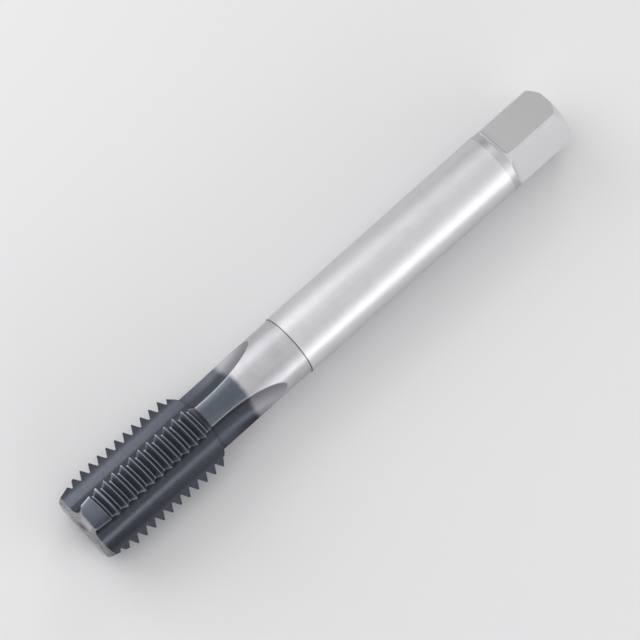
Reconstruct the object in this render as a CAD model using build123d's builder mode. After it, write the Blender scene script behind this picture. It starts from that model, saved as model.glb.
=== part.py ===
from build123d import *
from math import acos, cos, degrees, radians, sqrt, tan
import os

# A spiral point machine tap that cuts an M16 x 2 right-hand thread, ground from one
# piece of tool steel. It is shaped standing on its cutting end, with its axis along Z,
# and is laid down at the end: axis along X, cutting end at -X, driving square at +X,
# one flute facing the surface that it lies on.

# Lengths along the axis
overall_length = 110.0
thread_length = 27.5
neck_length = 20.5
square_length = 11.5

# Round sections
shank_diameter = 12.0
neck_diameter = 11.65
square_corner_diameter = 11.75
shoulder_length = 1.275
end_chamfer = 1.2

# Thread
thread_diameter = 16.2
thread_pitch = 2.0
thread_depth = 1.35
thread_angle = 60.0
groove_floor = 0.25
groove_overshoot = 0.1
groove_end_margin = 10.0
first_groove = 2.7

# Tapered lead at the cutting end, and the bevel behind the last thread
lead_angle = 15.0
lead_tip_diameter = 13.5
rear_bevel_angle = 45.0
rear_bevel_foot_diameter = 12.8
neck_step_length = 0.4

# End face of the cutting end: a flat disc in a shallow cone, with a broken rim
tip_disc_diameter = 6.6
tip_cone_height = 0.12
rim_break = 0.2

# Flutes: a round-nosed wheel runs along the axis and lifts out over the neck
flute_count = 3
core_diameter = 6.7
flute_nose_radius = 5.4
flute_overrun = 2.3
wheel_path_radius = 28.5
wheel_lift_angle = 50.0

# Spiral point: a wider nose, ground in steeply at the mouth of each flute
point_nose_radius = 13.0
point_core_diameter = 5.2
point_depth_angle = 55.0
point_side_angle = 10.0
point_side_shift = 0.8
point_grind_length = 24.0

# Driving square
across_flats = 9.0
square_turn = 16.0
flat_runout_radius = 1.5

# Centre holes in both ends
tip_centre_drill = 1.6
tip_centre_mouth = 3.35
tip_centre_depth = 3.5
shank_centre_drill = 2.5
shank_centre_mouth = 5.3
shank_centre_depth = 5.5
centre_cone_angle = 60.0

# How far a cutter starts outside the steel
clearance = 3.0

# Radii and stations that follow from the sizes above
crest_radius = thread_diameter / 2
root_radius = crest_radius - thread_depth
neck_radius = neck_diameter / 2
shank_radius = shank_diameter / 2
corner_radius = square_corner_diameter / 2
core_radius = core_diameter / 2
lead_tip_radius = lead_tip_diameter / 2
bevel_foot_radius = rear_bevel_foot_diameter / 2

bevel_foot = thread_length - neck_step_length
bevel_top = bevel_foot - (crest_radius - bevel_foot_radius) / tan(radians(rear_bevel_angle))
lead_start = tip_cone_height + rim_break
lead_end = lead_start + (crest_radius - lead_tip_radius) / tan(radians(lead_angle))
shank_start = thread_length + neck_length
square_start = overall_length - square_length
flat_depth = corner_radius - across_flats / 2
runout_length = sqrt(2 * flat_runout_radius * flat_depth - flat_depth**2)
shoulder_end = square_start - runout_length
shoulder_start = shoulder_end - shoulder_length

# The nose circle of a flute meets the crest circle at this angle from the flute's middle
nose_centre = core_radius + flute_nose_radius
flute_half_angle = degrees(
    acos((crest_radius**2 + nose_centre**2 - flute_nose_radius**2) / (2 * crest_radius * nose_centre))
)
land_spacing = 360 / flute_count
axis_height = crest_radius * cos(radians(flute_half_angle))

# The turned blank
with BuildPart() as blank:
    with BuildSketch(Plane.XZ):
        with BuildLine():
            Polyline(
                (0, 0),
                (tip_disc_diameter / 2, 0),
                (lead_tip_radius - rim_break, tip_cone_height),
                (lead_tip_radius, lead_start),
                (crest_radius, lead_end),
                (crest_radius, bevel_top),
                (bevel_foot_radius, bevel_foot),
                (neck_radius, thread_length),
                (neck_radius, shank_start),
                (shank_radius, shank_start),
                (shank_radius, shoulder_start),
                (corner_radius, shoulder_end),
                (corner_radius, overall_length),
                (0, overall_length),
                close=True,
            )
        make_face()
    revolve(axis=Axis.Z)
    chamfer(blank.edges().group_by(Axis.Z)[-1], end_chamfer)

# What one pass of the fluting wheel removes, on the +X side
with BuildPart() as flute:
    with BuildLine(Plane.XZ) as wheel_path:
        full_depth = Line((nose_centre, -clearance), (nose_centre, thread_length + flute_overrun))
        JernArc(full_depth @ 1, full_depth % 1, wheel_path_radius, -wheel_lift_angle)
    with BuildSketch(Plane.XY.offset(-clearance)):
        with Locations((nose_centre, 0)):
            Circle(flute_nose_radius)
    sweep(path=wheel_path.line)

# What the spiral point grind removes from the same flute. Its nose stands nearer to the
# cutting face on the +Y side, and its axis leans outwards so steeply that it only opens
# the mouth: it deepens the floor there and takes the front corners off both lands.
point_slope = tan(radians(point_depth_angle))
point_plane = Plane(
    origin=(point_core_diameter / 2, point_side_shift, 0),
    x_dir=(1, 0, -point_slope),
    z_dir=(point_slope, -tan(radians(point_side_angle)), 1),
)
with BuildPart() as point_grind:
    with BuildSketch(point_plane):
        with Locations((point_nose_radius, 0)):
            Circle(point_nose_radius)
    extrude(amount=point_grind_length, both=True)

# What the thread grinding wheel removes in crossing one land: a short right-handed
# stretch of the groove from +X at height 0, long enough to end out in both flutes
land_angle = land_spacing - 2 * flute_half_angle
groove_sweep_angle = land_angle + 2 * groove_end_margin
groove_rise = thread_pitch * groove_sweep_angle / 360
groove_height = thread_depth + groove_overshoot
floor_half_width = groove_floor / 2
mouth_half_width = floor_half_width + groove_height * tan(radians(thread_angle / 2))
with BuildPart() as groove:
    with BuildLine() as groove_path:
        Helix(thread_pitch, groove_rise, root_radius)
    with BuildSketch(Plane(groove_path.line @ 0, x_dir=(1, 0, 0), z_dir=groove_path.line % 0)):
        Polygon(
            (0, -floor_half_width),
            (groove_height, -mouth_half_width),
            (groove_height, mouth_half_width),
            (0, floor_half_width),
            align=None,
        )
    sweep(path=groove_path.line, is_frenet=True)

# What the milling cutter removes at one flat of the square, on the +X side
with BuildPart() as square_flat:
    with BuildSketch(Plane.XZ):
        with BuildLine():
            flat_line = Line((across_flats / 2, overall_length + clearance), (across_flats / 2, square_start))
            runout = JernArc(flat_line @ 1, flat_line % 1, flat_runout_radius, 90)
            Polyline(runout @ 1, ((runout @ 1).X, overall_length + clearance), flat_line @ 0)
        make_face()
    extrude(amount=shank_radius, both=True)

# The finished tap, standing on its cutting end
groove_step = thread_pitch / flute_count
groove_count = int((thread_length - first_groove) / groove_step)
first_place = Location(
    (0, 0, first_groove - groove_rise / 2), (0, 0, land_spacing - groove_sweep_angle / 2)
)
groove_places = [
    Location((0, 0, i * groove_step), (0, 0, i * land_spacing)) * first_place for i in range(groove_count)
]
with BuildPart() as standing_tap:
    add(blank.part)
    with PolarLocations(0, flute_count, start_angle=land_spacing / 2):
        add(flute.part, mode=Mode.SUBTRACT)
        add(point_grind.part, mode=Mode.SUBTRACT)
    with Locations(*groove_places):
        add(groove.part, mode=Mode.SUBTRACT)
    with PolarLocations(0, 4, start_angle=45 + square_turn):
        add(square_flat.part, mode=Mode.SUBTRACT)
    with Locations(Plane(origin=(0, 0, 0), z_dir=(0, 0, -1))):
        CounterSinkHole(tip_centre_drill / 2, tip_centre_mouth / 2, tip_centre_depth, centre_cone_angle)
    with Locations((0, 0, overall_length)):
        CounterSinkHole(shank_centre_drill / 2, shank_centre_mouth / 2, shank_centre_depth, centre_cone_angle)

# Laid down, with the middle of the first land upwards
lying = Plane(origin=(-overall_length / 2, 0, axis_height), x_dir=(0, 0, 1), z_dir=(1, 0, 0))
with BuildPart(lying) as tap:
    add(standing_tap.part)
tap.part.label = "tap"

os.makedirs("parts", exist_ok=True)
export_step(tap.part, "parts/tap.step")
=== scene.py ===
from math import cos, pi, radians, sin, sqrt, tan

import bpy
from mathutils import Matrix, Vector

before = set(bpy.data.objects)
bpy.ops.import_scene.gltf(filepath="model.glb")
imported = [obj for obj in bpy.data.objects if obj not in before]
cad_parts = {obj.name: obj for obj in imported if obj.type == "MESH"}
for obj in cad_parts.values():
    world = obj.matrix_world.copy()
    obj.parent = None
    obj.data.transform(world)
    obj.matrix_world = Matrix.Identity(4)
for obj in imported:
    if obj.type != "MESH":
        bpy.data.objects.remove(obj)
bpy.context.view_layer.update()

# The tap's own measures, in millimetres. Stations run along its axis from the cutting end.
MM = 0.001
LENGTH = 110.0
AXIS_HEIGHT = 6.458
THREAD_LENGTH = 27.5
FIRST_THREAD = 3.2
CREST_RADIUS = 8.1
LEAD_START = 0.32
LEAD_TIP_RADIUS = 6.75
LEAD_SLOPE = tan(radians(15))
FLUTE_COUNT = 3
FLUTE_NOSE = 5.4
FLUTE_STRAIGHT = 29.8
WHEEL_PATH = 28.5
WHEEL_CENTRE = 8.75 + WHEEL_PATH
POINT_CORE = 2.6
POINT_NOSE = 13.0
POINT_SHIFT = 0.8
POINT_SLOPE = tan(radians(55))
POINT_SKEW = tan(radians(10))
COATING_END = 35.9
SHANK_START = 48.0
SHOULDER_START = 95.73
SHOULDER_END = 97.0
CORNER_RADIUS = 5.875

# Colours of the bare steel. Two shades are clouded together.
NECK_STEEL = (0.48, 0.478, 0.50, 1), (0.53, 0.527, 0.55, 1)
SHANK_STEEL = (0.62, 0.616, 0.64, 1), (0.65, 0.646, 0.67, 1)
# The run-outs' steel is darkened with painted shade of the hollow
SHADED_RUNOUT_STEEL = (0.28, 0.28, 0.30, 1)
SHOULDER_STEEL = (0.52, 0.518, 0.535, 1)
MILLED_STEEL = (0.78, 0.778, 0.79, 1)
STEP_SHADE = (0.12, 0.12, 0.13, 1)
END_GREY = (0.22, 0.225, 0.235, 1), (0.38, 0.385, 0.395, 1)
# A painted highlight on the rim of the end face
END_RIM_HIGHLIGHT = (0.47, 0.475, 0.49, 1)

# Colours of the coating
COATING = (0.092, 0.106, 0.132, 1), (0.110, 0.125, 0.152, 1)
# Flutes: a darker coating, deepened with painted shade of the hollow
SHADED_FLUTE_COATING = (0.062, 0.068, 0.083, 1)
GRAIN = (0.24, 0.26, 0.29, 1)
# A painted shadow across the flutes where the head's thread ends
FLUTE_END_SHADOW = (0.03, 0.034, 0.042, 1)
# A painted sheen, lighter than the coating, on the threads' flanks
PAINTED_FLANK_SHEEN = (0.20, 0.22, 0.25, 1)
# The lands pale towards the flutes: partly edge wear, partly painted highlight
NECK_LAND_WEAR_AND_HIGHLIGHT = (0.32, 0.35, 0.38, 1)
LAND_EDGE_WEAR_AND_HIGHLIGHT = (0.40, 0.42, 0.45, 1)
# Rubbed thread crests: partly wear, partly painted highlight
CREST_WEAR_AND_HIGHLIGHT = (0.28, 0.30, 0.33, 1)

# Colours of the floor, below the tap and far from it, where painted shade greys it
PALE_CARD = (0.75, 0.75, 0.76, 1)
FAR_CARD_SHADE = (0.42, 0.42, 0.425, 1)


class Wire:
    """A socket that carries one number, so that shader maths reads as Python."""

    def __init__(self, finish, socket):
        self.finish = finish
        self.socket = socket

    def __add__(self, other):
        return self.finish.maths("ADD", self, other)

    def __sub__(self, other):
        return self.finish.maths("SUBTRACT", self, other)

    def __rsub__(self, other):
        return self.finish.maths("SUBTRACT", other, self)

    def __mul__(self, other):
        return self.finish.maths("MULTIPLY", self, other)

    def __truediv__(self, other):
        return self.finish.maths("DIVIDE", self, other)

    def __pow__(self, other):
        return self.finish.maths("POWER", self, other)

    def __mod__(self, other):
        return self.finish.maths("FLOORED_MODULO", self, other)

    def __neg__(self):
        return self * -1

    __radd__ = __add__
    __rmul__ = __mul__

    def span(self, other):
        """The long side of the right triangle on these two."""
        return (self * self + other * other) ** 0.5

    def least(self, other):
        return self.finish.maths("MINIMUM", self, other)

    def most(self, other):
        return self.finish.maths("MAXIMUM", self, other)

    def ramp(self, low, high):
        """0 below low and 1 above high, with a smooth rise between them."""
        values = {"Value": self, "From Min": low, "From Max": high}
        return self.finish.node("ShaderNodeMapRange", {"interpolation_type": "SMOOTHSTEP"}, values)


class Finish:
    """A material. Every node in it is added by node()."""

    def __init__(self, name):
        self.material = bpy.data.materials.new(name)
        self.material.use_nodes = True
        self.tree = self.material.node_tree
        self.tree.nodes.clear()

    def node(self, kind, settings=None, values=None, out=0):
        made = self.tree.nodes.new(kind)
        for name, setting in (settings or {}).items():
            setattr(made, name, setting)
        for name, value in (values or {}).items():
            if isinstance(value, Wire):
                self.tree.links.new(value.socket, made.inputs[name])
            else:
                made.inputs[name].default_value = value
        return Wire(self, made.outputs[out]) if made.outputs else made

    def maths(self, operation, *values):
        return self.node("ShaderNodeMath", {"operation": operation}, dict(enumerate(values)))

    def blend(self, share, first, second):
        """The second colour where share is 1, the first where it is 0."""
        return self.node("ShaderNodeMix", {"data_type": "RGBA"}, {0: share, 6: first, 7: second}, out=2)

    def noise(self, place, scale, detail, rough):
        values = {"Vector": place, "Scale": scale, "Detail": detail, "Roughness": rough}
        return self.node("ShaderNodeTexNoise", {}, values)

    def stretched(self, place, along_x, along_y, along_z):
        """The same place with each direction scaled, for marks that run one way."""
        stretch = (along_x, along_y, along_z)
        return self.node("ShaderNodeVectorMath", {"operation": "MULTIPLY"}, {0: place, 1: stretch})

    def object_place(self):
        return self.node("ShaderNodeTexCoord", out="Object")

    def numbers(self, place):
        """The three numbers of a place."""
        split = self.node("ShaderNodeSeparateXYZ", {}, {"Vector": place})
        return [Wire(self, output) for output in split.socket.node.outputs]

    def finish(self, **sockets):
        values = {name.replace("_", " "): value for name, value in sockets.items()}
        shader = self.node("ShaderNodeBsdfPrincipled", {}, values)
        self.node("ShaderNodeOutputMaterial", {}, {"Surface": shader})
        return self.material


def ground_steel():
    """Bright ground steel, with the dark coating over the cutting end."""
    f = Finish("ground_steel")
    to_millimetres = {"Location": (LENGTH / 2, 0, -AXIS_HEIGHT), "Scale": (1 / MM, 1 / MM, 1 / MM)}
    place = f.node("ShaderNodeMapping", {}, {"Vector": f.object_place(), **to_millimetres})
    station, across, up = f.numbers(place)
    radius = across.span(up)

    # Out from the axis and sideways, both seen from the middle of the nearest flute
    turn = f.maths("ARCTAN2", -across, up)
    from_flute = turn % (2 * pi / FLUTE_COUNT) - pi / FLUTE_COUNT
    outward = radius * f.maths("COSINE", from_flute)
    sideways = radius * f.maths("SINE", from_flute)

    # The wheel's nose runs straight, then lifts out along its circle over the neck
    lifted = (station - FLUTE_STRAIGHT).most(0)
    from_wheel = (WHEEL_CENTRE - outward).span(lifted)
    off_flute = (WHEEL_PATH - from_wheel).span(sideways) - FLUTE_NOSE
    flute = 1 - off_flute.ramp(0.03, 0.08)

    # The spiral point grind at the mouth of the flute, which turns dark a millimetre in
    slope, skew = POINT_SLOPE, POINT_SKEW
    lean = sqrt(1 + slope**2)
    deep = (outward - POINT_CORE - station * slope) / lean - POINT_NOSE
    aside = (outward - POINT_CORE) * slope * skew + (sideways - POINT_SHIFT) * lean**2 + station * skew
    aside = aside / (lean * sqrt(lean**2 + skew**2))
    point = (1 - (deep.span(aside) - POINT_NOSE).ramp(0.03, 0.08)) * (1 - station.ramp(0.5, 1.1))

    # Grinding marks: round the axis on the turned surfaces, along it in the flutes
    round_marks = f.noise(f.stretched(place, 14.0, 0.12, 0.12), scale=1.0, detail=3.0, rough=0.6)
    long_marks = f.noise(f.stretched(place, 0.05, 9.0, 9.0), scale=1.0, detail=3.0, rough=0.6)
    marks = round_marks + (long_marks - round_marks) * flute
    clouded = f.noise(place, scale=0.35, detail=3.0, rough=0.55).ramp(0.3, 0.7)
    speckle = f.noise(place, scale=2.6, detail=2.0, rough=0.6)
    grain = f.noise(place, scale=4.5, detail=1.0, rough=0.5)
    wander = f.noise(place, scale=0.5, detail=2.0, rough=0.5)

    # The lengths of the tap: thread, coating with its soft end, shank, shoulder and square
    in_head = 1 - station.ramp(THREAD_LENGTH - 0.1, THREAD_LENGTH + 0.05)
    threads = station.ramp(FIRST_THREAD, FIRST_THREAD + 0.4) * in_head * (1 - flute)
    coated = 1 - (station + (wander - 0.5) * 0.7).ramp(COATING_END - 0.6, COATING_END + 0.6)
    shank = station.ramp(SHANK_START - 0.06, SHANK_START + 0.02)
    shoulder = station.ramp(SHOULDER_START - 0.05, SHOULDER_START + 0.05)
    shoulder = shoulder * (1 - station.ramp(SHOULDER_END + 0.3, SHOULDER_END + 0.6))
    inside_corners = 1 - radius.ramp(CORNER_RADIUS - 0.045, CORNER_RADIUS - 0.015)
    milled = station.ramp(SHOULDER_END - 0.1, SHOULDER_END + 0.1) * inside_corners

    # Bare steel: the neck is greyer than the shank, and the flutes' run-outs are dull and darkened with
    # painted shade
    neck_steel = f.blend(clouded, *NECK_STEEL)
    shank_steel = f.blend(clouded, *SHANK_STEEL)
    steel = f.blend(shank, neck_steel, shank_steel)
    # Painted shade darkens the hollow run-outs
    steel = f.blend(flute, steel, SHADED_RUNOUT_STEEL)
    steel = f.blend(shoulder, steel, SHOULDER_STEEL)
    from_step = station - (SHANK_START - 0.05)
    step_shade = 1 - f.maths("ABSOLUTE", from_step).ramp(0.06, 0.16)
    steel = f.blend(step_shade * 0.7, steel, STEP_SHADE)

    # Coated steel: the flutes darken with painted shade, a painted shadow crosses them at the head's
    # end, the flanks carry a painted sheen, and the neck's lands pale towards their edges and the thread
    # crests are rubbed, both partly painted highlight
    coating = f.blend(clouded, *COATING)
    # The flutes are darker: partly a darker coating where they are ground, partly painted shade of the
    # hollow
    coating = f.blend(flute, coating, SHADED_FLUTE_COATING)
    coating = f.blend(grain.ramp(0.35, 0.75) * 0.10, coating, GRAIN)
    # Painted shadow: a dark band across the flutes just behind the head's thread
    flute_end_shadow = station.ramp(THREAD_LENGTH, THREAD_LENGTH + 0.1) * flute
    flute_end_shadow = flute_end_shadow * (1 - station.ramp(THREAD_LENGTH + 0.4, THREAD_LENGTH + 0.9))
    coating = f.blend(flute_end_shadow * 0.4, coating, FLUTE_END_SHADOW)
    crest = ((station - LEAD_START) * LEAD_SLOPE + LEAD_TIP_RADIUS).least(CREST_RADIUS)
    flank = threads * (1 - (radius - crest).ramp(-0.14, -0.05))
    # Painted sheen on the flanks
    coating = f.blend(flank * 0.45, coating, PAINTED_FLANK_SHEEN)
    # The neck's lands pale towards the flutes, and a pale line runs along every land's edge: partly
    # wear, partly painted highlight
    neck_land_wear_and_highlight = (1 - off_flute.ramp(0.1, 1.7)) * (1 - in_head) * (1 - flute)
    coating = f.blend(neck_land_wear_and_highlight * 0.22, coating, NECK_LAND_WEAR_AND_HIGHLIGHT)
    land_edge_wear_and_highlight = (1 - off_flute.ramp(0.12, 0.46)) * (1 - flute)
    coating = f.blend(land_edge_wear_and_highlight * 0.6, coating, LAND_EDGE_WEAR_AND_HIGHLIGHT)
    # Paler towards the thread crests: partly rubbed coating, partly painted highlight
    rubbed_and_highlit = (radius - crest).ramp(-0.50, -0.02) * threads
    coating = f.blend(rubbed_and_highlit * 0.4, coating, CREST_WEAR_AND_HIGHLIGHT)

    # The square's flats are milled bright. The end face and the spiral point are speckled grey, and the
    # end face's rim has a painted highlight
    colour = f.blend(coated, steel, coating)
    colour = f.blend(milled, colour, MILLED_STEEL)
    end_disc = 1 - station.ramp(LEAD_START, LEAD_START + 0.04)
    end_face = end_disc.most(point)
    colour = f.blend(end_face, colour, f.blend(speckle.ramp(0.3, 0.7), *END_GREY))
    # Painted highlight on the end face's rim
    rim_highlight = end_disc * radius.ramp(3.5, 3.9) * (1 - point)
    colour = f.blend(rim_highlight, colour, END_RIM_HIGHLIGHT)

    steel_rough = 0.33 + shank * 0.03 - milled * 0.11 + flute * 0.17
    coat_rough = 0.34 + flank * 0.02 - flute * in_head * 0.08
    rough = (steel_rough * (1 - coated) + coat_rough * coated) + (marks - 0.5) * 0.08 + end_face * 0.1
    metal = 1 - flank * 0.05 - end_face * 0.4
    bump = f.node("ShaderNodeBump", {}, {"Strength": 0.2, "Distance": 0.004 * MM, "Height": marks})
    return f.finish(Base_Color=colour, Metallic=metal, Roughness=rough, Normal=bump)


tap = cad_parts["tap"]
tap.data.materials.clear()
tap.data.materials.append(ground_steel())


def pale_floor():
    """Pale matt card. Painted shade greys it outwards, where it lies close to the light panels."""
    f = Finish("pale_floor")
    x, y, _ = f.numbers(f.object_place())
    # Painted shade greys the floor outwards, against the panels' light
    colour = f.blend(x.span(y).ramp(0.08, 0.34), PALE_CARD, FAR_CARD_SHADE)
    return f.finish(Base_Color=colour, Roughness=0.8, Specular_IOR_Level=0.1)


bpy.ops.mesh.primitive_plane_add(size=6.0, location=(0, 0, 0))
floor = bpy.context.object
floor.name = "floor"
floor.data.materials.append(pale_floor())


# Camera: almost straight above, seen a little from the cutting end and from the near side
PICTURE = 640
TIP_TILT = radians(10.7)
NEAR_TURN = radians(6.5)
PICTURE_TURN = radians(41.7055)
PIXELS_PER_MM = 5.80
DISTANCE = 2000 * MM
SENSOR = 36.0
AXIS_PIXEL = (319.0, 319.2)

towards = Vector((-sin(TIP_TILT), -sin(NEAR_TURN) * cos(TIP_TILT), cos(NEAR_TURN) * cos(TIP_TILT)))
along = (Vector((1, 0, 0)) - towards * towards.x).normalized()
below = along.cross(towards)
right = along * cos(PICTURE_TURN) + below * sin(PICTURE_TURN)
upright = along * sin(PICTURE_TURN) - below * cos(PICTURE_TURN)
pixel = MM / PIXELS_PER_MM
target = Vector((0, 0, AXIS_HEIGHT * MM))
target += right * (PICTURE / 2 - AXIS_PIXEL[0]) * pixel - upright * (PICTURE / 2 - AXIS_PIXEL[1]) * pixel
lens = bpy.data.cameras.new("camera")
lens.sensor_width = SENSOR
lens.lens = SENSOR * DISTANCE / (PICTURE * pixel)
lens.clip_start = 0.01
lens.clip_end = 50
camera = bpy.data.objects.new("camera", lens)
camera.matrix_world = Matrix((right, upright, towards)).transposed().to_4x4()
camera.location = target + towards * DISTANCE
bpy.context.scene.collection.objects.link(camera)
bpy.context.scene.camera = camera


def panel(name, width, height, place, aim, strength):
    """A soft light panel, in metres, turned to face a point. Only reflections show it."""
    data = bpy.data.lights.new(name, "AREA")
    data.shape = "RECTANGLE"
    data.size = width
    data.size_y = height
    data.energy = strength * width * height * pi
    light = bpy.data.objects.new(name, data)
    light.visible_camera = False
    light.location = place
    light.rotation_euler = (Vector(aim) - Vector(place)).to_track_quat("-Z", "Y").to_euler()
    bpy.context.scene.collection.objects.link(light)


# Soft light from above and from the far side, over the whole length
panel("top_panel", 1.4, 0.86, (0.0, 0.12, 0.65), (0, 0.12, 0), 0.77)
panel("far_wall", 2.0, 0.9, (0.0, 0.9, 0.46), (0, 0, 0.46), 0.31)
panel("far_high_panel", 0.26, 0.21, (0.0, 0.347, 0.36), (0.0, 0, 0), 0.42)

# Light for the cutting end: both flutes, the threads' flanks and the end face
panel("far_panel", 0.40, 0.30, (-0.16, 0.331, 0.176), (-0.16, 0, 0), 2.4)
panel("near_strip", 0.30, 0.115, (-0.135, -0.35, 0.10), (-0.135, 0, 0), 2.9)
panel("thread_panel", 0.18, 0.18, (0.35, 0.27, 0.28), (-0.04, 0, 0), 3.2)
panel("end_panel", 0.22, 0.22, (-0.32, 0.10, 0.30), (-0.05, 0, 0), 1.0)

# The shank's near side brightens downwards, in three steps that meet edge to edge
NEAR_DISTANCE = 0.37
NEAR_LENGTH = 0.50
NEAR_MIDDLE = 0.28
for low, high, strength in ((2, 32, 1.9), (32, 48, 1.3), (48, 65, 0.9)):
    elevation = radians((low + high) / 2)
    tall = 2 * NEAR_DISTANCE * tan(radians((high - low) / 2))
    place = (NEAR_MIDDLE, -NEAR_DISTANCE * cos(elevation), NEAR_DISTANCE * sin(elevation))
    panel(f"near_panel_{low}", NEAR_LENGTH, tall, place, (NEAR_MIDDLE, 0, 0), strength)

world = bpy.data.worlds.new("studio")
bpy.context.scene.world = world
world.use_nodes = True
background = world.node_tree.nodes["Background"].inputs
background["Color"].default_value = (1, 1, 1, 1)
background["Strength"].default_value = 0.15

bpy.context.scene.view_settings.view_transform = "Standard"
